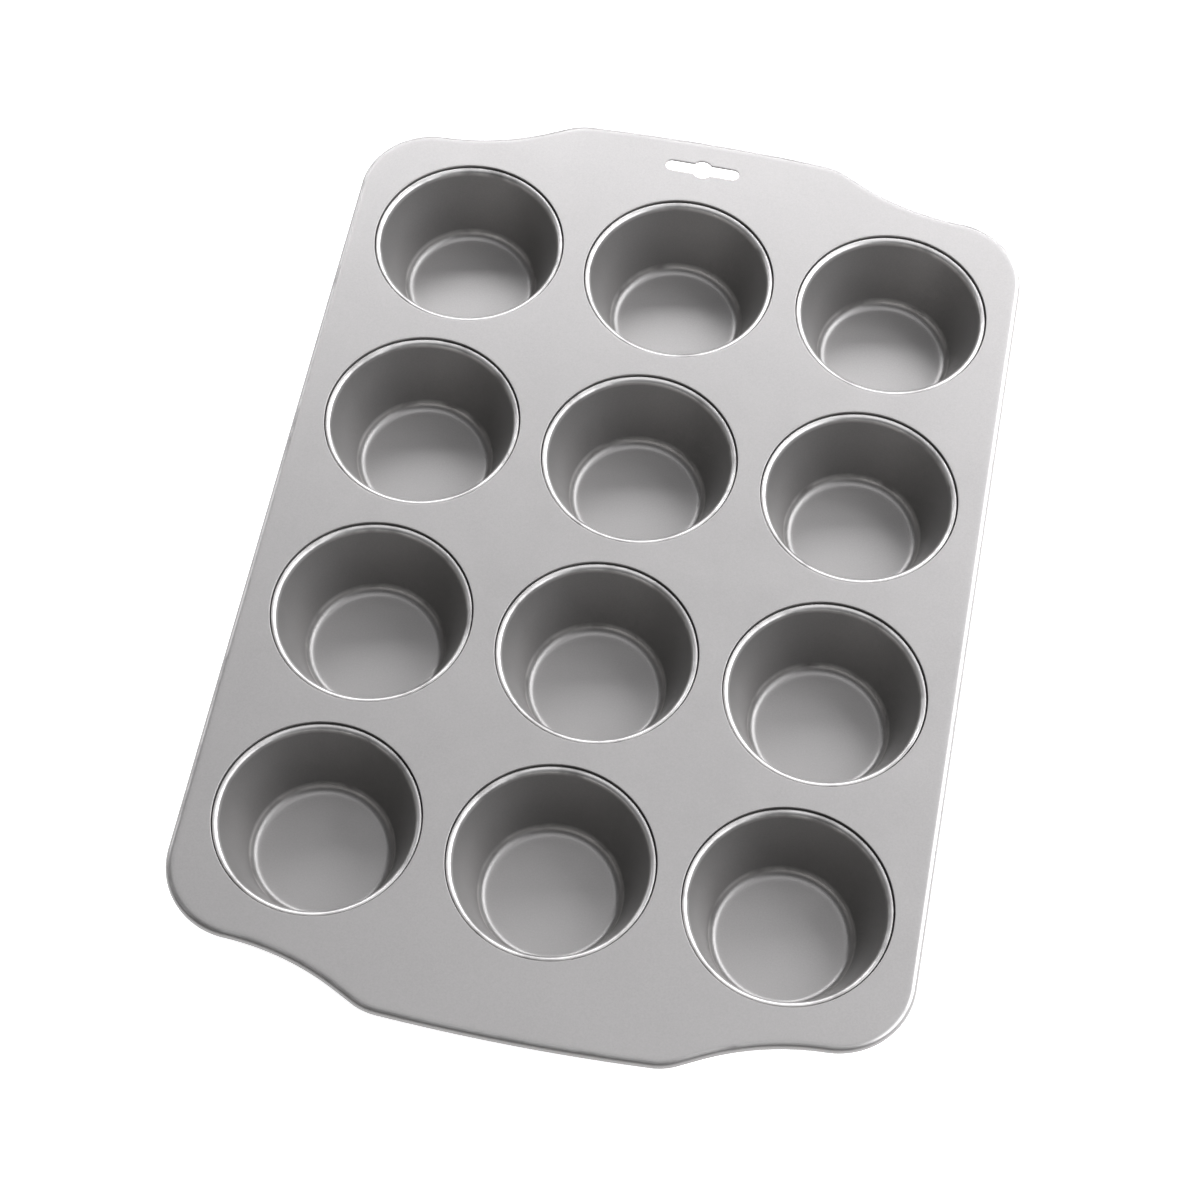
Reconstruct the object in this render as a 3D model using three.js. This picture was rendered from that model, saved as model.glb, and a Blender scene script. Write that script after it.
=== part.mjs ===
// Twelve-cup muffin tin: a rolled-edge tray sheet with a separate drawn cup hemmed into each hole.
// Millimetres, +Z up. The bench is z = 0, X runs across the tin and Y runs from handle to handle.
// The handle with the hang slot is at +Y.

import * as THREE from 'three';

// Cup grid
const columns = 3;
const rows = 4;

// Heights
const trayTop = 30.5; // top of the flat sheet above the bench
const rimDrop = 0.8; // how far a cup's bead sits below the sheet

// Steel
const sheetThickness = 0.7;
const cupThickness = 0.5;

// Seam between sheet and cup
const seamRadius = 35; // middle of the visible gap
const seamClearance = 0.3; // between collar and cup on every side
const collarBend = 0.2; // inside radius where the sheet turns down
const collarDepth = 5; // lower edge of the collar below the sheet's top
const hemLift = 0.15; // collar edge above the middle of the hem's turn
const hemHeight = 2.4;

// Cup
const baseRadius = 21.5; // flat bottom
const baseFillet = 3.3; // inside radius at the bottom
const beadRadius = 1.6; // top radius where the wall rolls outwards
const foldRadius = 0.55; // outside radius where the bead turns down

// Flat sheet left round the seams
const landWidth = 9.3; // between two neighbouring seams
const sideLand = 10.7; // outer seam to the side edge
const handleLand = 29; // end seam to the tip of the handle

// Tray outline
const bowRadius = 760; // gentle bow across the handle
const shoulderRadius = 21;
const shoulderStraight = 7.2;
const shoulderAngle = THREE.MathUtils.degToRad(27.4);
const neckRadius = 94; // hollow between handle and corner
const neckAngle = THREE.MathUtils.degToRad(2.3);
const cornerRadius = 26.7;

// Rolled edge and the wire inside it
const rollRadius = 2.3;
const rollTurn = 270; // degrees that the edge is rolled under
const wireClearance = 0.35;
const wireGap = 2; // between the wire's two ends

// Hang slot
const slotLength = 28;
const slotWidth = 4.7;
const slotLobeRadius = 3.9;
const slotFillet = 0.8; // where the lobe meets the slot
const slotInset = 13.6; // handle tip to the slot's middle

// Facets
const roundSides = 32; // round a cup
const rollStep = 45; // degrees between the rolled edge's corners

const quarterTurn = Math.PI / 2;
const cupPitch = 2 * seamRadius + landWidth;
const halfWidth = (columns - 1) / 2 * cupPitch + seamRadius + sideLand;
const halfLength = (rows - 1) / 2 * cupPitch + seamRadius + handleLand;
const collarRadius = seamRadius + seamClearance / 2; // face towards the cup
const skirtRadius = seamRadius - seamClearance / 2; // outside of the cup's skirt

const trayMaterial = () => new THREE.MeshStandardMaterial({ color: 0xc2c2c4, roughness: 0.4, metalness: 0.6 });
const cupMaterial = () => new THREE.MeshStandardMaterial({ color: 0xa6a5a4, roughness: 0.38, metalness: 0.6 });
const wireMaterial = () => new THREE.MeshStandardMaterial({ color: 0x9b9da0, roughness: 0.5, metalness: 0.9 });

// Walks along straights and bends (a left turn is positive) and keeps, at each point, the direction to
// its left, which is the way the outline or the strip is offset there.
function walk(x, y, heading, moves) {
  const leftOf = (angle) => ({ nx: -Math.sin(angle), ny: Math.cos(angle) });
  const stations = [{ x, y, ...leftOf(heading) }];
  for (const { length = 0, radius = 0, turn = 0, steps = 1 } of moves) {
    const step = turn / steps;
    const chord = length / steps + 2 * radius * Math.sin(Math.abs(step) / 2);
    for (let i = 0; i < steps; i++) {
      x += chord * Math.cos(heading + step / 2);
      y += chord * Math.sin(heading + step / 2);
      heading += step;
      stations.push({ x, y, ...leftOf(heading) });
    }
  }
  return stations;
}

// A quarter from the top middle round to the right, mirrored into the whole loop, clockwise from the
// right-hand side, with each station kept once.
function wholeLoop(quarter) {
  const flip = (sx, sy) => quarter.map((s) => ({ x: s.x * sx, y: s.y * sy, nx: s.nx * sx, ny: s.ny * sy }));
  const loop = [...flip(1, -1).reverse(), ...flip(-1, -1), ...flip(-1, 1).reverse(), ...flip(1, 1)];
  return loop.filter((s, i) => {
    const before = loop.at(i - 1);
    return Math.hypot(s.x - before.x, s.y - before.y) > 1e-6;
  });
}

// A line of stations pushed sideways and set at a height.
function ringOf(stations, offset, z) {
  return stations.map((s) => new THREE.Vector3(s.x + s.nx * offset, s.y + s.ny * offset, z));
}

// Outer edge of the tray, clockwise, from one end of the right-hand side round to its other end.
function trayOutline() {
  const bendsWidth = shoulderRadius * Math.sin(shoulderAngle) + shoulderStraight * Math.cos(shoulderAngle)
    + neckRadius * (Math.sin(shoulderAngle) - Math.sin(neckAngle)) + cornerRadius * (1 - Math.sin(neckAngle));
  const bowAngle = Math.asin((halfWidth - bendsWidth) / (bowRadius - shoulderRadius));
  const quarter = walk(0, halfLength, 0, [
    { radius: bowRadius, turn: -bowAngle, steps: 3 },
    { radius: shoulderRadius, turn: bowAngle - shoulderAngle, steps: 3 },
    { length: shoulderStraight },
    { radius: neckRadius, turn: shoulderAngle - neckAngle, steps: 3 },
    { radius: cornerRadius, turn: neckAngle - quarterTurn, steps: 6 },
  ]);
  return wholeLoop(quarter);
}

// Centres of the cups, row by row from the slotted handle, left to right.
function cupPlaces() {
  const places = [];
  for (let row = 1; row <= rows; row++) {
    for (let column = 1; column <= columns; column++) {
      places.push({
        name: `cup_r${row}_c${column}`,
        x: (column - (columns + 1) / 2) * cupPitch,
        y: ((rows + 1) / 2 - row) * cupPitch,
      });
    }
  }
  return places;
}

// The sheet's rolled edge, from its flat top round the outside of the roll and back along the inside.
function rolledEdge(outline) {
  const corners = rollTurn / rollStep;
  const arc = (radius, i) => {
    const angle = THREE.MathUtils.degToRad(90 - i * rollStep);
    return ringOf(outline, radius * Math.cos(angle) - rollRadius, trayTop - rollRadius + radius * Math.sin(angle));
  };
  const rings = [];
  for (let i = 0; i <= corners; i++) {
    rings.push(arc(rollRadius, i));
  }
  for (let i = corners; i >= 0; i--) {
    rings.push(arc(rollRadius - sheetThickness, i));
  }
  return rings;
}

// The collar turned down round one cup hole, from the flat top to the flat underside.
function collarEdge(place) {
  const circle = [];
  for (let i = 0; i < roundSides; i++) {
    const angle = 2 * Math.PI * i / roundSides;
    circle.push({ x: place.x, y: place.y, nx: Math.cos(angle), ny: Math.sin(angle) });
  }
  const flatRadius = collarRadius + sheetThickness + collarBend;
  const bendBottom = trayTop - sheetThickness - collarBend;
  return [
    ringOf(circle, flatRadius, trayTop),
    ringOf(circle, collarRadius, bendBottom),
    ringOf(circle, collarRadius, trayTop - collarDepth),
    ringOf(circle, collarRadius + sheetThickness, trayTop - collarDepth),
    ringOf(circle, collarRadius + sheetThickness, bendBottom),
    ringOf(circle, flatRadius, trayTop - sheetThickness),
  ];
}

// The hang slot: a round-ended slot with a round lobe in its middle.
function slotEdge() {
  const half = slotWidth / 2;
  const bends = slotLobeRadius + slotFillet;
  const lobeTurn = Math.acos(1 - (slotLobeRadius - half) / bends);
  const quarter = walk(0, slotLobeRadius, 0, [
    { radius: slotLobeRadius, turn: -lobeTurn, steps: 3 },
    { radius: slotFillet, turn: lobeTurn, steps: 2 },
    { length: slotLength / 2 - half - bends * Math.sin(lobeTurn) },
    { radius: half, turn: -quarterTurn, steps: 3 },
  ]);
  const slotY = halfLength - slotInset;
  const loop = wholeLoop(quarter).reverse().map((s) => ({ ...s, y: s.y + slotY }));
  return [trayTop, trayTop - sheetThickness].map((z) => ringOf(loop, 0, z));
}

// A closed body of sheet: a flat top and a flat underside, joined round every edge by a strip of rings.
// The first edge is the outline. Each edge keeps the sheet on its right.
function sheetBody(edges) {
  const points = [];
  const faces = [];
  const tops = [];
  const undersides = [];
  for (const rings of edges) {
    const count = rings[0].length;
    const first = points.length;
    points.push(...rings.flat());
    for (let k = 0; k < rings.length - 1; k++) {
      for (let i = 0; i < count; i++) {
        const a = first + k * count + i;
        const b = first + k * count + (i + 1) % count;
        faces.push([a, b, b + count], [a, b + count, a + count]);
      }
    }
    for (let i = 0; i < count; i++) {
      tops.push(first + i);
      undersides.push(first + (rings.length - 1) * count + i);
    }
  }
  const [contour, ...holes] = edges.map((rings) => rings[0].map((p) => new THREE.Vector2(p.x, p.y)));
  const flat = [contour, ...holes].flat();
  for (const [a, b, c] of THREE.ShapeUtils.triangulateShape(contour, holes)) {
    const upwards = THREE.ShapeUtils.area([flat[a], flat[b], flat[c]]) > 0;
    const [p, q] = upwards ? [b, c] : [c, b];
    faces.push([tops[a], tops[p], tops[q]], [undersides[a], undersides[q], undersides[p]]);
  }
  const geometry = new THREE.BufferGeometry().setFromPoints(points);
  geometry.setIndex(faces.flat());
  geometry.computeVertexNormals();
  return geometry;
}

function traySheet(outline) {
  const edges = [rolledEdge(outline), ...cupPlaces().map(collarEdge), slotEdge()];
  const mesh = new THREE.Mesh(sheetBody(edges), trayMaterial());
  mesh.name = 'tray_sheet';
  return mesh;
}

// The line that the wire follows, through the middle of the roll at the outline's own stations.
class WirePath extends THREE.Curve {
  constructor(stations) {
    super();
    this.stations = stations;
  }

  getPointAt(share) {
    const s = this.stations[Math.round(share * (this.stations.length - 1))];
    return new THREE.Vector3(s.x - s.nx * rollRadius, s.y - s.ny * rollRadius, trayTop - rollRadius);
  }

  getTangentAt(share) {
    const s = this.stations[Math.round(share * (this.stations.length - 1))];
    return new THREE.Vector3(s.ny, -s.nx, 0);
  }
}

// The wire fills the roll, and its ends meet half-way along the right-hand side.
function rimWire(outline) {
  const end = (sign) => ({ x: halfWidth, y: sign * wireGap / 2, nx: 1, ny: 0 });
  const stations = [end(-1), ...outline, end(1)];
  const wireRadius = rollRadius - sheetThickness - wireClearance;
  const section = new THREE.Shape();
  for (let i = 0; i < 360 / rollStep; i++) {
    const angle = THREE.MathUtils.degToRad(i * rollStep);
    const corner = [wireRadius * Math.cos(angle), wireRadius * Math.sin(angle)];
    if (i === 0) {
      section.moveTo(...corner);
    } else {
      section.lineTo(...corner);
    }
  }
  const geometry = new THREE.ExtrudeGeometry(section, {
    steps: stations.length - 1,
    extrudePath: new WirePath(stations),
  });
  const mesh = new THREE.Mesh(geometry, wireMaterial());
  mesh.name = 'rim_wire';
  return mesh;
}

// Half section of a cup: one strip of steel from the middle of the base, up the wall, over the bead,
// down the skirt and up behind the collar.
function cupProfile() {
  const half = cupThickness / 2;
  const fillet = baseFillet + half;
  const bead = beadRadius - half;
  const fold = foldRadius - half;
  const skirt = skirtRadius - half;
  const hem = collarRadius + sheetThickness + seamClearance + half;
  const beadTop = trayTop - rimDrop - half;
  const hemMiddle = trayTop - collarDepth - hemLift;

  // The straight wall touches the base fillet on one side and the bead on the other.
  const across = skirt - fold - baseRadius;
  const up = beadTop - bead - (half + fillet);
  const wallLength = Math.sqrt(across ** 2 + up ** 2 - (fillet + bead) ** 2);
  const wallAngle = Math.atan2(up, across) + Math.atan2(fillet + bead, wallLength);

  const strip = walk(0, half, 0, [
    { length: baseRadius },
    { radius: fillet, turn: wallAngle },
    { length: wallLength },
    { radius: bead, turn: -wallAngle },
    { radius: fold, turn: -quarterTurn },
    { length: beadTop - fold - hemMiddle },
    { radius: (hem - skirt) / 2, turn: Math.PI, steps: 2 },
    { length: hemHeight },
  ]);
  const face = (offset) => strip.map((s) => new THREE.Vector2(s.x + s.nx * offset, s.y + s.ny * offset));
  return [...face(-half), ...face(half).reverse()];
}

function cups() {
  const group = new THREE.Group();
  const geometry = new THREE.LatheGeometry(cupProfile(), roundSides);
  geometry.rotateX(quarterTurn);
  for (const place of cupPlaces()) {
    const mesh = new THREE.Mesh(geometry, cupMaterial());
    mesh.name = place.name;
    mesh.position.set(place.x, place.y, 0);
    group.add(mesh);
  }
  return group;
}

const outline = trayOutline();
const muffinTin = new THREE.Group();
muffinTin.add(traySheet(outline));
muffinTin.add(rimWire(outline));
muffinTin.add(cups());

export default muffinTin;
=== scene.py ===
import math

import bmesh
import bpy
from mathutils import Matrix, Vector


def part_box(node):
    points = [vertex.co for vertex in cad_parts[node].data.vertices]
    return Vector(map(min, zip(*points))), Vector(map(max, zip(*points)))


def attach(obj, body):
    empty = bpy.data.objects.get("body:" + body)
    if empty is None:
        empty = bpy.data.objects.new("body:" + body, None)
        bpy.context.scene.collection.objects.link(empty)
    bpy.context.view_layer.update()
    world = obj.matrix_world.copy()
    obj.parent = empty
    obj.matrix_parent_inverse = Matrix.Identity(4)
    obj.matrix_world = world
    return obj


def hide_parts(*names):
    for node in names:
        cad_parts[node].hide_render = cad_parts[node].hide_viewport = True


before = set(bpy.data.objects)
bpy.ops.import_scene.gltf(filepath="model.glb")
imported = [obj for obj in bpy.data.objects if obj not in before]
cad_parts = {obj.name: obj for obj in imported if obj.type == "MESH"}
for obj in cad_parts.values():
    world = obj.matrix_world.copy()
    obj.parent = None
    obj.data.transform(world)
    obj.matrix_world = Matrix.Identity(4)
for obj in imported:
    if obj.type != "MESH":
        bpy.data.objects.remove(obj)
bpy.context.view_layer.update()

scene = bpy.context.scene
mm = 0.001

camera = {
    "place": (68.4 * mm, -468.0 * mm, 875.4 * mm),
    "aim": (-2.8 * mm, -19.6 * mm, 30 * mm),
    "roll": math.radians(2.23),
    "lens": 83.0,
    "sensor": 36.0,
}


def addCamera():
    data = bpy.data.cameras.new("camera")
    data.lens = camera["lens"]
    data.sensor_width = camera["sensor"]
    data.clip_start = 0.05
    data.clip_end = 20
    eye = bpy.data.objects.new("camera", data)
    forward = (Vector(camera["aim"]) - Vector(camera["place"])).normalized()
    turn = forward.to_track_quat("-Z", "Y").to_matrix() @ Matrix.Rotation(camera["roll"], 3, "Z")
    eye.matrix_world = Matrix.Translation(camera["place"]) @ turn.to_4x4()
    scene.collection.objects.link(eye)
    scene.camera = eye


addCamera()
print("camera placed")


def walk(x, y, heading, moves):
    # each move is (length, radius, turn, steps); a left turn is positive
    # a stop is a point and the direction to its left, the way the line is pushed sideways
    stops = [(x, y, -math.sin(heading), math.cos(heading))]
    for length, radius, turn, steps in moves:
        step = turn / steps
        chord = length / steps + 2 * radius * math.sin(abs(step) / 2)
        for _ in range(steps):
            x += chord * math.cos(heading + step / 2)
            y += chord * math.sin(heading + step / 2)
            heading += step
            stops.append((x, y, -math.sin(heading), math.cos(heading)))
    return stops


def straight(length, steps=1):
    return (length, 0, 0, steps)


def bend(radius, turn, steps):
    return (0, radius, turn, steps)


def pushed(stops, offset, z):
    return [Vector((x + nx * offset, y + ny * offset, z)) for x, y, nx, ny in stops]


def mirrorQuarter(quarter):
    # a quarter from the top middle to the right, made into the whole loop
    def flip(sx, sy):
        return [(x * sx, y * sy, nx * sx, ny * sy) for x, y, nx, ny in quarter]
    loop = flip(1, 1) + flip(1, -1)[::-1] + flip(-1, -1) + flip(-1, 1)[::-1]
    clean = []
    for stop in loop:
        last = clean[-1] if clean else loop[-1]
        if math.dist(stop[:2], last[:2]) > 1e-7:
            clean.append(stop)
    return clean


def addRings(bm, rings, closed=True):
    # a skin over rings of equal length; returns the first and last ring's vertices
    rows = [[bm.verts.new(point) for point in ring] for ring in rings]
    for low, high in zip(rows, rows[1:]):
        count = len(low)
        for i in range(count if closed else count - 1):
            j = (i + 1) % count
            bm.faces.new((low[i], low[j], high[j], high[i]))
    return rows[0], rows[-1]


def loopEdges(bm, verts):
    return [bm.edges.get((a, b)) for a, b in zip(verts, verts[1:] + verts[:1])]


def finishMesh(bm, name, sharpAngle=math.radians(38)):
    bmesh.ops.recalc_face_normals(bm, faces=bm.faces)
    for face in bm.faces:
        face.smooth = True
    for edge in bm.edges:
        if len(edge.link_faces) == 2 and edge.calc_face_angle() > sharpAngle:
            edge.smooth = False
    mesh = bpy.data.meshes.new(name)
    bm.to_mesh(mesh)
    bm.free()
    piece = bpy.data.objects.new(name, mesh)
    scene.collection.objects.link(piece)
    return piece


def bentAround(middleX, middleZ, radius, startAngle, turn, steps):
    # points (sideways, height) on an arc, for a strip that is rolled over
    points = []
    for i in range(steps + 1):
        angle = startAngle + turn * i / steps
        points.append((middleX + radius * math.cos(angle), middleZ + radius * math.sin(angle)))
    return points


trayLow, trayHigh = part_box("tray_sheet")
trayTop = trayHigh[2]

tray = {
    "sheet": 0.7 * mm,
    "roll": 2.3 * mm,
    "rollTurn": math.radians(270),
    "rollSteps": 24,
    "bow": 760 * mm,
    "shoulder": 21 * mm,
    "shoulderStraight": 7.2 * mm,
    "shoulderAngle": math.radians(27.4),
    "neck": 94 * mm,
    "neckAngle": math.radians(2.3),
    "corner": 26.7 * mm,
    "sideSteps": 24,
    "flatBorder": 1.2 * mm,     # flat strip beside each bend, so that the bend's shading stays in it
    "worn": (0.32 * mm, 0.3 * mm),      # painted highlight band on the edges, lighter and glossier: depth below the top, reach up and down
}

seam = {
    "radius": 35 * mm,
    "clearance": 0.3 * mm,
    "edgeRound": 0.2 * mm,      # where the sheet's top turns down into the hole
    "cornerRound": 0.1 * mm,    # the same bend, on the underside
    "collarDepth": 5 * mm,
    "segments": 128,
}

slot = {
    "length": 28 * mm,
    "width": 4.7 * mm,
    "lobe": 3.9 * mm,
    "fillet": 0.8 * mm,
    "inset": 13.6 * mm,
    "burr": 0.12 * mm,          # rounding that the punch leaves on the upper edge
    "flatBorder": 0.4 * mm,
}


def trayOutline():
    t = tray
    halfWidth = (trayHigh[0] - trayLow[0]) / 2
    halfLength = (trayHigh[1] - trayLow[1]) / 2
    down, level = math.sin(t["shoulderAngle"]), math.sin(t["neckAngle"])
    bends = t["shoulder"] * down + t["shoulderStraight"] * math.cos(t["shoulderAngle"])
    bends += t["neck"] * (down - level) + t["corner"] * (1 - level)
    bowAngle = math.asin((halfWidth - bends) / (t["bow"] - t["shoulder"]))
    quarter = walk(0, halfLength, 0, [
        bend(t["bow"], -bowAngle, 10),
        bend(t["shoulder"], bowAngle - t["shoulderAngle"], 12),
        straight(t["shoulderStraight"], 2),
        bend(t["neck"], t["shoulderAngle"] - t["neckAngle"], 16),
        bend(t["corner"], t["neckAngle"] - math.pi / 2, 30),
    ])
    x, y, nx, ny = quarter[-1]  # from here the side runs straight down
    quarter += [(x, y * (1 - i / t["sideSteps"]), nx, ny) for i in range(1, t["sideSteps"] + 1)]
    return mirrorQuarter(quarter)


def rolledEdgeRings(outline):
    t = tray
    inset, middle = -t["roll"], trayTop - t["roll"]
    outer = bentAround(inset, middle, t["roll"], math.pi / 2, -t["rollTurn"], t["rollSteps"])
    inner = bentAround(inset, middle, t["roll"] - t["sheet"], math.pi / 2, -t["rollTurn"], t["rollSteps"])
    flat = inset - t["flatBorder"]
    profile = [(flat, trayTop), *outer, *inner[::-1], (flat, trayTop - t["sheet"])]
    return [pushed(outline, offset, z) for offset, z in profile]


def collarRings(centre):
    s, sheet = seam, tray["sheet"]
    wall = s["radius"] + s["clearance"] / 2
    edge, corner = s["edgeRound"], s["cornerRound"]
    below = trayTop - sheet
    outer = bentAround(wall + edge, trayTop - edge, edge, math.pi / 2, math.pi / 2, 8)
    inner = bentAround(wall + sheet + corner, below - corner, corner, math.pi / 2, math.pi / 2, 4)
    foot = trayTop - s["collarDepth"]
    flat = wall + sheet + corner + tray["flatBorder"]
    start = wall + edge + tray["flatBorder"] / 2
    over = [(flat, trayTop), (start, trayTop), *outer]
    under = [(wall, foot), (wall + sheet, foot), *inner[::-1], (flat, below)]
    profile = over + under
    angles = [2 * math.pi * i / s["segments"] for i in range(s["segments"])]
    circle = [(centre.x, centre.y, math.cos(a), math.sin(a)) for a in angles]
    return [pushed(circle, radius, z) for radius, z in profile]


def slotRings():
    s, sheet = slot, tray["sheet"]
    half = s["width"] / 2
    lobeTurn = math.acos(1 - (s["lobe"] - half) / (s["lobe"] + s["fillet"]))
    arm = s["length"] / 2 - half - (s["lobe"] + s["fillet"]) * math.sin(lobeTurn)
    quarter = walk(0, s["lobe"], 0, [
        bend(s["lobe"], -lobeTurn, 8),
        bend(s["fillet"], lobeTurn, 4),
        straight(arm, 3),
        bend(half, -math.pi / 2, 10),
    ])
    middleY = trayHigh[1] - s["inset"]
    loop = [(x, y + middleY, nx, ny) for x, y, nx, ny in mirrorQuarter(quarter)]
    upper = bentAround(s["burr"], trayTop - s["burr"], s["burr"], math.pi / 2, math.pi / 2, 3)
    profile = [(s["burr"] + s["flatBorder"], trayTop), *upper]
    profile += [(0, trayTop - sheet), (s["flatBorder"], trayTop - sheet)]
    return [pushed(loop, offset, z) for offset, z in profile]


def buildTraySheet(cupCentres):
    bm = bmesh.new()
    tops, undersides = [], []
    for rings in [rolledEdgeRings(trayOutline()), *map(collarRings, cupCentres), slotRings()]:
        first, last = addRings(bm, rings)
        tops += loopEdges(bm, first)
        undersides += loopEdges(bm, last)
    bmesh.ops.triangle_fill(bm, use_beauty=True, edges=tops)
    bmesh.ops.triangle_fill(bm, use_beauty=True, edges=undersides)
    piece = finishMesh(bm, "traySheet")
    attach(piece, "root")
    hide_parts("tray_sheet")
    return piece


wire = {
    "radius": 1.25 * mm,
    "gap": 2 * mm,
    "sides": 20,
    "endRound": 0.25 * mm,
}


def buildRimWire():
    outline = trayOutline()
    right = max(range(len(outline)), key=lambda i: (round(outline[i][0], 6), -abs(outline[i][1])))
    loop = outline[right:] + outline[:right + 1]
    halfGap = wire["gap"] / 2
    x, _, nx, ny = loop[0]
    ends = [(x, -halfGap, nx, ny), *loop[1:-1], (x, halfGap, nx, ny)]
    middle = trayTop - tray["roll"]
    bm = bmesh.new()
    rings = []
    for k, (px, py, nx, ny) in enumerate(ends):
        atEnd = k in (0, len(ends) - 1)
        radius = wire["radius"] - (wire["endRound"] if atEnd else 0)
        ring = []
        for i in range(wire["sides"]):
            angle = 2 * math.pi * i / wire["sides"]
            side = radius * math.cos(angle) - tray["roll"]
            ring.append(Vector((px + nx * side, py + ny * side, middle + radius * math.sin(angle))))
        rings.append(ring)
    first, last = addRings(bm, rings)
    bm.faces.new(first)
    bm.faces.new(last)
    piece = finishMesh(bm, "rimWire")
    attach(piece, "root")
    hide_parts("rim_wire")
    return piece


cup = {
    "steel": 0.5 * mm,
    "baseRadius": 21.5 * mm,
    "baseFillet": 3.3 * mm,
    "bead": 1.6 * mm,
    "fold": 0.55 * mm,
    "rimDrop": 0.8 * mm,
    "hemLift": 0.15 * mm,
    "hemHeight": 2.4 * mm,
    "segments": 128,
    "flatBorder": 1 * mm,       # short straight step beside each bend
    "wornBead": (0.7 * mm, 1.6 * mm),   # painted highlight band on the bead, lighter and glossier: depth below the bead's top, reach up and down
    "wornFillet": (2.8 * mm, 1.6 * mm), # painted highlight band on the base fillet, lighter and glossier: height above the stand, reach up and down
}

cupNames = sorted(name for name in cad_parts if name.startswith("cup_"))


def cupCentre(node):
    low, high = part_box(node)
    return Vector(((low[0] + high[0]) / 2, (low[1] + high[1]) / 2, low[2]))


def cupProfile():
    c, half, border = cup, cup["steel"] / 2, cup["flatBorder"]
    fillet, bead, fold = c["baseFillet"] + half, c["bead"] - half, c["fold"] - half
    skirt = seam["radius"] - seam["clearance"] / 2 - half
    hem = seam["radius"] + 1.5 * seam["clearance"] + tray["sheet"] + half
    beadTop = trayTop - c["rimDrop"] - half
    hemMiddle = trayTop - seam["collarDepth"] - c["hemLift"]
    across = skirt - fold - c["baseRadius"]
    up = beadTop - bead - half - fillet
    wall = math.sqrt(across ** 2 + up ** 2 - (fillet + bead) ** 2)
    lean = math.atan2(up, across) + math.atan2(fillet + bead, wall)
    strip = walk(0, half, 0, [
        straight(c["baseRadius"] - border, 6),
        straight(border),
        bend(fillet, lean, 9),
        straight(border),
        straight(wall - 2 * border, 5),
        straight(border),
        bend(bead, -lean, 9),
        bend(fold, -math.pi / 2, 6),
        straight(beadTop - fold - hemMiddle, 2),
        bend((hem - skirt) / 2, math.pi, 10),
        straight(c["hemHeight"]),
    ])
    under = [(x - nx * half, y - ny * half) for x, y, nx, ny in strip]
    over = [(x + nx * half, y + ny * half) for x, y, nx, ny in strip]
    tip = bentAround(strip[-1][0], strip[-1][1], half, 0, math.pi, 6)[1:-1]
    return under + tip + over[::-1]


def buildCup(node, profile):
    centre = cupCentre(node)
    bm = bmesh.new()
    rings = []
    for radius, z in profile[1:-1]:
        ring = []
        for i in range(cup["segments"]):
            angle = 2 * math.pi * i / cup["segments"]
            ring.append(centre + Vector((radius * math.cos(angle), radius * math.sin(angle), z)))
        rings.append(ring)
    first, last = addRings(bm, rings)
    for ring, (_, z) in ((first, profile[0]), (last, profile[-1])):
        middle = bm.verts.new(centre + Vector((0, 0, z)))
        for a, b in zip(ring, ring[1:] + ring[:1]):
            bm.faces.new((middle, a, b))
    piece = finishMesh(bm, node.replace("cup_", "bakingCup_"))
    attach(piece, "root")
    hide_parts(node)
    return piece


cupCentres = [cupCentre(name) for name in cupNames]
traySheet = buildTraySheet(cupCentres)
print("tray sheet built")
rimWire = buildRimWire()
print("rim wire built")
profile = cupProfile()
cups = [buildCup(name, profile) for name in cupNames]
print("cups built:", len(cups))


# The groups read a piece's own coordinates, in metres.
def newGroup(name, takes, gives):
    group = bpy.data.node_groups.new(name, "ShaderNodeTree")
    for label, kind, value in takes:
        socket = group.interface.new_socket(label, in_out="INPUT", socket_type=kind)
        if value is not None:
            socket.default_value = value
    for label in gives:
        group.interface.new_socket(label, in_out="OUTPUT", socket_type="NodeSocketFloat")
    return group, group.nodes.new("NodeGroupInput").outputs, group.nodes.new("NodeGroupOutput").inputs


def addNode(tree, kind, settings=None, **values):
    # values are sockets to link or numbers to set, by the input's name, with spaces left out
    node = tree.nodes.new("ShaderNode" + kind)
    for key, value in (settings or {}).items():
        setattr(node, key, value)
    for key, value in values.items():
        socket = next(s for s in node.inputs if s.name.replace(" ", "") == key and s.enabled)
        if isinstance(value, bpy.types.NodeSocket):
            tree.links.new(value, socket)
        else:
            socket.default_value = value
    return node


def doMath(tree, operation, first, second=0.0, clamp=False):
    node = tree.nodes.new("ShaderNodeMath")
    node.operation, node.use_clamp = operation, clamp
    for socket, value in zip(node.inputs, (first, second)):
        if isinstance(value, bpy.types.NodeSocket):
            tree.links.new(value, socket)
        else:
            socket.default_value = value
    return node.outputs[0]


def placeGroup(tree, group, **values):
    node = tree.nodes.new("ShaderNodeGroup")
    node.node_tree = group
    for key, value in values.items():
        socket = next(s for s in node.inputs if s.name.replace(" ", "") == key)
        if isinstance(value, bpy.types.NodeSocket):
            tree.links.new(value, socket)
        else:
            socket.default_value = value
    return node.outputs


def buildGrainGroup():
    # fine powder grain: a tone that varies round 1, and a height for the bump
    group, given, result = newGroup("powderGrain", [
        ("Vector", "NodeSocketVector", None),
        ("Grain Size", "NodeSocketFloat", 0.0005),
        ("Tone Spread", "NodeSocketFloat", 0.05),
    ], ["Tone", "Height"])
    scale = doMath(group, "DIVIDE", 1.0, given["Grain Size"])
    noise = addNode(group, "TexNoise", Vector=given["Vector"], Scale=scale, Detail=1.5, Roughness=0.6)
    centred = doMath(group, "SUBTRACT", noise.outputs["Fac"], 0.5)
    spread = doMath(group, "MULTIPLY", centred, given["Tone Spread"])
    group.links.new(doMath(group, "ADD", doMath(group, "MULTIPLY", spread, 4.0), 1.0), result["Tone"])
    group.links.new(noise.outputs["Fac"], result["Height"])
    return group


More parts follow.
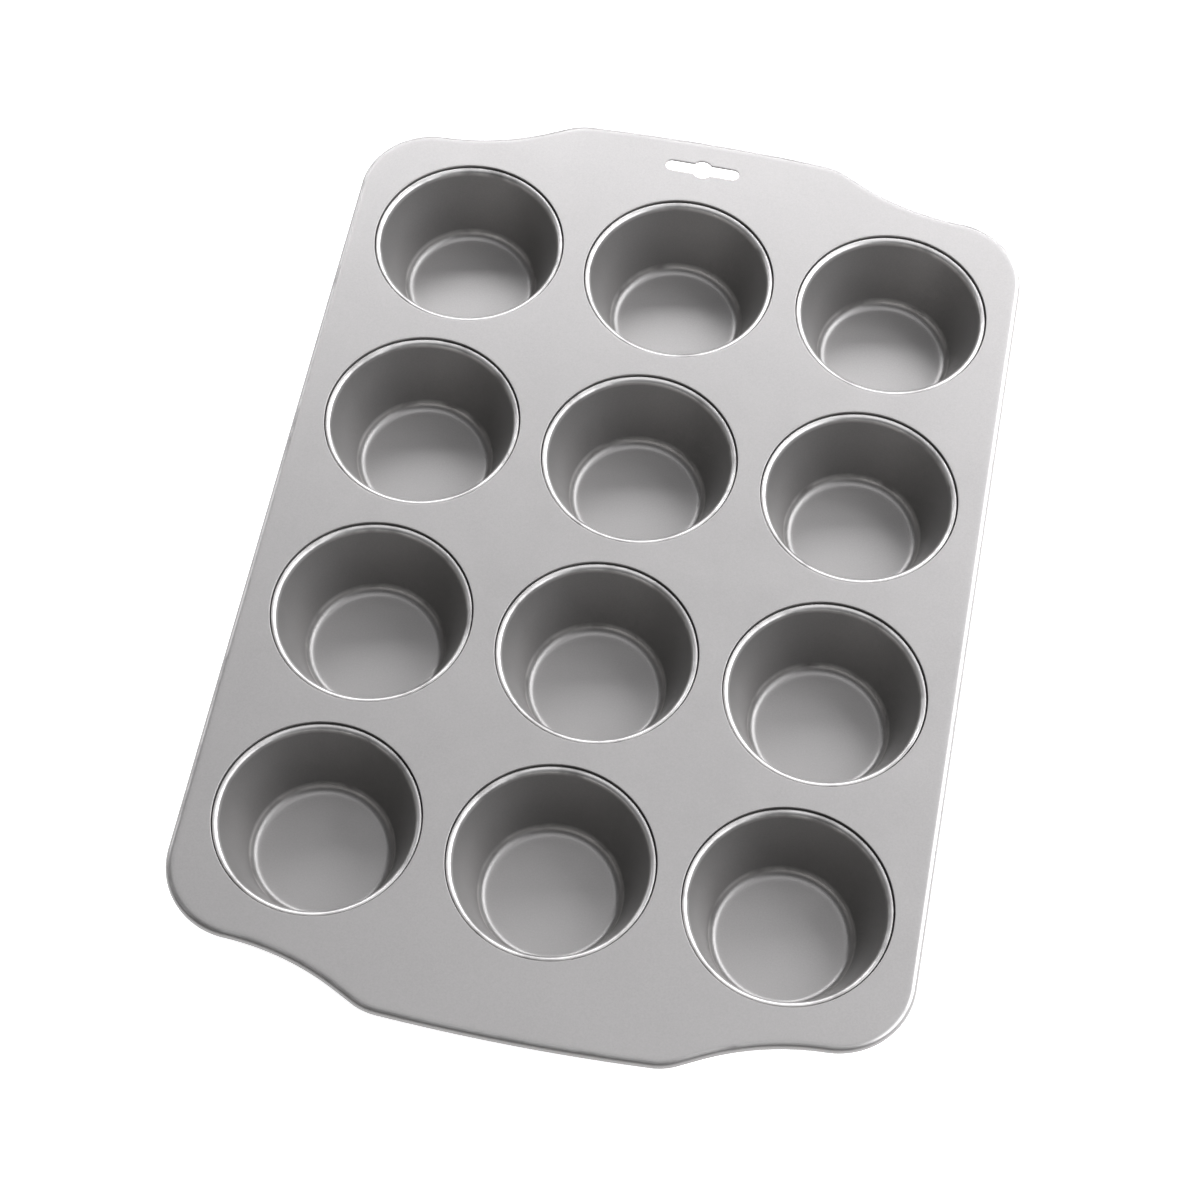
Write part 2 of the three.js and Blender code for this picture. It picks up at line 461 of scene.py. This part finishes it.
def buildPatchGroup():
    # broad unevenness from spraying and handling, centred on 0
    group, given, result = newGroup("sprayPatches", [
        ("Vector", "NodeSocketVector", None),
        ("Patch Size", "NodeSocketFloat", 0.03),
        ("Amount", "NodeSocketFloat", 0.05),
    ], ["Shift"])
    scale = doMath(group, "DIVIDE", 1.0, given["Patch Size"])
    noise = addNode(group, "TexNoise", Vector=given["Vector"], Scale=scale, Detail=3.0, Roughness=0.5)
    centred = doMath(group, "SUBTRACT", noise.outputs["Fac"], 0.5)
    group.links.new(doMath(group, "MULTIPLY", centred, given["Amount"]), result["Shift"])
    return group


def buildHighlightBandGroup():
    # painted highlight on bends, a lighter and glossier band: strongest at one height, in broken stretches
    group, given, result = newGroup("paintedHighlightBand", [
        ("Vector", "NodeSocketVector", None),
        ("Height", "NodeSocketFloat", 0.03),
        ("Reach", "NodeSocketFloat", 0.0006),
        ("Stretch Size", "NodeSocketFloat", 0.012),
    ], ["Mask"])
    split = addNode(group, "SeparateXYZ", Vector=given["Vector"])
    away = doMath(group, "ABSOLUTE", doMath(group, "SUBTRACT", split.outputs["Z"], given["Height"]))
    near = doMath(group, "SUBTRACT", 1.0, doMath(group, "DIVIDE", away, given["Reach"]), clamp=True)
    scale = doMath(group, "DIVIDE", 1.0, given["Stretch Size"])
    noise = addNode(group, "TexNoise", Vector=given["Vector"], Scale=scale, Detail=3.0)
    stretches = addNode(group, "MapRange", Value=noise.outputs["Fac"], FromMin=0.3, FromMax=0.52)
    group.links.new(doMath(group, "MULTIPLY", near, stretches.outputs["Result"]), result["Mask"])
    return group


powderGrain = buildGrainGroup()
sprayPatches = buildPatchGroup()
paintedHighlightBand = buildHighlightBandGroup()
print("shader groups built")


def newMaterial(name):
    material = bpy.data.materials.new(name)
    material.use_nodes = True
    tree = material.node_tree
    coordinates = tree.nodes.new("ShaderNodeTexCoord").outputs["Object"]
    return material, tree, tree.nodes["Principled BSDF"].inputs, coordinates


def mixColours(tree, mode, share, first, second):
    node = tree.nodes.new("ShaderNodeMix")
    node.data_type, node.blend_type = "RGBA", mode
    for label, value in (("Factor_Float", share), ("A_Color", first), ("B_Color", second)):
        socket = next(s for s in node.inputs if s.identifier == label)
        if isinstance(value, bpy.types.NodeSocket):
            tree.links.new(value, socket)
        else:
            socket.default_value = value
    return next(s for s in node.outputs if s.identifier == "Result_Color")


def addBumps(tree, shader, layers):
    # each layer is (height, distance), the broadest first
    normal = None
    for height, distance in layers:
        bump = addNode(tree, "Bump", Height=height, Distance=distance)
        if normal:
            tree.links.new(normal, bump.inputs["Normal"])
        normal = bump.outputs["Normal"]
    tree.links.new(normal, shader["Normal"])


# Grey non-stick coating, sprayed on the pressed steel: metal flake in a thin dark paint.
coating = {
    "colour": (0.222, 0.215, 0.209, 1),
    "rubbedColour": (0.5, 0.488, 0.475, 1),
    "metallic": 0.7,
    "roughness": 0.4,
    "rubbedGloss": 0.1,
    "grainSize": 0.55 * mm,
    "grainSpread": 0.05,
    "grainBump": 0.004 * mm,
    "patchSize": 34 * mm,
    "glossPatchSize": 34 * mm / 3,
    "patchTone": 0.06,
    "patchGloss": 0.08,
    "peelSize": 2.2 * mm,
    "peelBump": 0.006 * mm,
}


def coatingMaterial(name, highlightBands):
    # highlight bands are (height, reach) of the bands painted lighter and glossier, a painted highlight
    c = coating
    material, tree, shader, where = newMaterial(name)
    grain = placeGroup(tree, powderGrain, Vector=where, GrainSize=c["grainSize"], ToneSpread=c["grainSpread"])
    toneShift = placeGroup(tree, sprayPatches, Vector=where, PatchSize=c["patchSize"], Amount=c["patchTone"])
    gloss = {"PatchSize": c["glossPatchSize"], "Amount": c["patchGloss"]}
    glossShift = placeGroup(tree, sprayPatches, Vector=where, **gloss)
    highlightMask = 0.0
    for height, reach in highlightBands:
        band = placeGroup(tree, paintedHighlightBand, Vector=where, Height=height, Reach=reach)
        highlightMask = doMath(tree, "MAXIMUM", band["Mask"], highlightMask)
    tone = doMath(tree, "ADD", grain["Tone"], toneShift["Shift"])
    toned = mixColours(tree, "MULTIPLY", 1.0, c["colour"], tone)
    # painted highlight: inside the bands the coating colour is mixed towards a lighter grey
    tree.links.new(mixColours(tree, "MIX", highlightMask, toned, c["rubbedColour"]), shader["Base Color"])
    bandGlossDrop = doMath(tree, "MULTIPLY", highlightMask, c["rubbedGloss"])
    roughness = doMath(tree, "ADD", glossShift["Shift"], c["roughness"])
    tree.links.new(doMath(tree, "SUBTRACT", roughness, bandGlossDrop), shader["Roughness"])
    shader["Metallic"].default_value = c["metallic"]
    peel = placeGroup(tree, powderGrain, Vector=where, GrainSize=c["peelSize"])
    addBumps(tree, shader, [(peel["Height"], c["peelBump"]), (grain["Height"], c["grainBump"])])
    return material


# Galvanised wire: dull zinc with small spangles.
zinc = {
    "dark": (0.40, 0.41, 0.42, 1),
    "light": (0.62, 0.63, 0.64, 1),
    "spangleSize": 1.6 * mm,
    "grainSize": 0.3 * mm,
    "roughness": 0.36,
    "spangleGloss": 0.12,
    "bump": 0.01 * mm,
}


def wireMaterial():
    z = zinc
    material, tree, shader, where = newMaterial("galvanisedWire")
    cells = addNode(tree, "TexVoronoi", Vector=where, Scale=1 / z["spangleSize"])
    spangle = addNode(tree, "SeparateColor", Color=cells.outputs["Color"]).outputs["Red"]
    grain = placeGroup(tree, powderGrain, Vector=where, GrainSize=z["grainSize"], ToneSpread=0.08)
    flat = mixColours(tree, "MIX", spangle, z["dark"], z["light"])
    tree.links.new(mixColours(tree, "MULTIPLY", 1.0, flat, grain["Tone"]), shader["Base Color"])
    gloss = doMath(tree, "MULTIPLY", spangle, z["spangleGloss"])
    tree.links.new(doMath(tree, "ADD", gloss, z["roughness"]), shader["Roughness"])
    shader["Metallic"].default_value = 1.0
    addBumps(tree, shader, [(grain["Height"], z["bump"])])
    return material


edgeDepth, edgeReach = tray["worn"]
beadDepth, beadReach = cup["wornBead"]
beadBand = (trayTop - cup["rimDrop"] - beadDepth, beadReach)
# painted highlight band along the tray's top edges
trayCoating = coatingMaterial("trayCoating", [(trayTop - edgeDepth, edgeReach)])
# painted highlight bands on the cups' beads and base fillets
cupCoating = coatingMaterial("cupCoating", [beadBand, cup["wornFillet"]])
traySheet.data.materials.append(trayCoating)
for piece in cups:
    piece.data.materials.append(cupCoating)
rimWire.data.materials.append(wireMaterial())
print("finishes applied")


# White paper sweep that glows a little, so that it stays white under the tin. It is clear from below.
stage = {
    "size": 6.0,
    "colour": (0.9, 0.9, 0.9, 1),
    "glow": 0.8,
    "grainSize": 1.5 * mm,
}


def addFloor():
    bm = bmesh.new()
    half = stage["size"] / 2
    corners = ((-half, -half), (half, -half), (half, half), (-half, half))
    bm.faces.new([bm.verts.new((x, y, 0)) for x, y in corners])
    floor = finishMesh(bm, "floor")
    material, tree, shader, where = newMaterial("paperSweep")
    grain = placeGroup(tree, powderGrain, Vector=where, GrainSize=stage["grainSize"], ToneSpread=0.01)
    tree.links.new(mixColours(tree, "MULTIPLY", 1.0, stage["colour"], grain["Tone"]), shader["Base Color"])
    shader["Roughness"].default_value = 0.8
    shader["Emission Color"].default_value = (1, 1, 1, 1)
    shader["Emission Strength"].default_value = stage["glow"]
    below = addNode(tree, "NewGeometry").outputs["Backfacing"]
    tree.links.new(doMath(tree, "SUBTRACT", 1.0, below), shader["Alpha"])
    floor.data.materials.append(material)


addFloor()

# Softboxes: degrees round from the far side towards the right, degrees up, width and height, brightness.
softboxDistance = 1.8
softboxes = {
    "back": (-12, 27, 2.0, 0.45, 0.5),
    "backHigh": (-12, 40, 1.8, 0.4, 3.55),
    "backTop": (0, 53, 1.6, 0.4, 0.15),
    "backRight": (50, 26, 1.3, 0.6, 3.8),
    "backRightHigh": (50, 46, 1.3, 0.6, 2.35),
    "right": (100, 24, 1.9, 0.7, 1.2),
    "rightHigh": (95, 48, 1.5, 0.7, 1.0),
    "backLeft": (-60, 18, 1.1, 0.6, 0.6),
    "overheadBack": (0, 68, 1.6, 0.4, 0.3),
    "overhead": (0, 86, 1.2, 0.8, 0.66),
    "nearHigh": (180, 72, 1.4, 0.5, 0.4),
}
lightColour = (1.01, 1.02, 1.055)
ambient = 0.14      # light from all round, for everything but the camera
backdrop = 1.1      # what the camera sees past the paper


def addSoftboxes():
    for name, (around, up, width, height, brightness) in softboxes.items():
        data = bpy.data.lights.new(name, "AREA")
        data.shape = "RECTANGLE"
        data.size, data.size_y = width, height
        data.color = lightColour
        data.energy = math.pi ** 2 * width * height * brightness
        lamp = bpy.data.objects.new(name, data)
        a, u = math.radians(around), math.radians(up)
        towards = Vector((math.sin(a) * math.cos(u), math.cos(a) * math.cos(u), math.sin(u)))
        lamp.location = towards * softboxDistance
        lamp.rotation_euler = (-towards).to_track_quat("-Z", "Y").to_euler()
        scene.collection.objects.link(lamp)


addSoftboxes()
world = bpy.data.worlds.new("studio")
scene.world = world
world.use_nodes = True
sky = world.node_tree.nodes["Background"].inputs
sky["Color"].default_value = (*lightColour, 1)
seen = addNode(world.node_tree, "LightPath").outputs["Is Camera Ray"]
strength = addNode(world.node_tree, "MapRange", Value=seen, ToMin=ambient, ToMax=backdrop)
world.node_tree.links.new(strength.outputs["Result"], sky["Strength"])
scene.view_settings.view_transform = "Standard"
print("stage set")
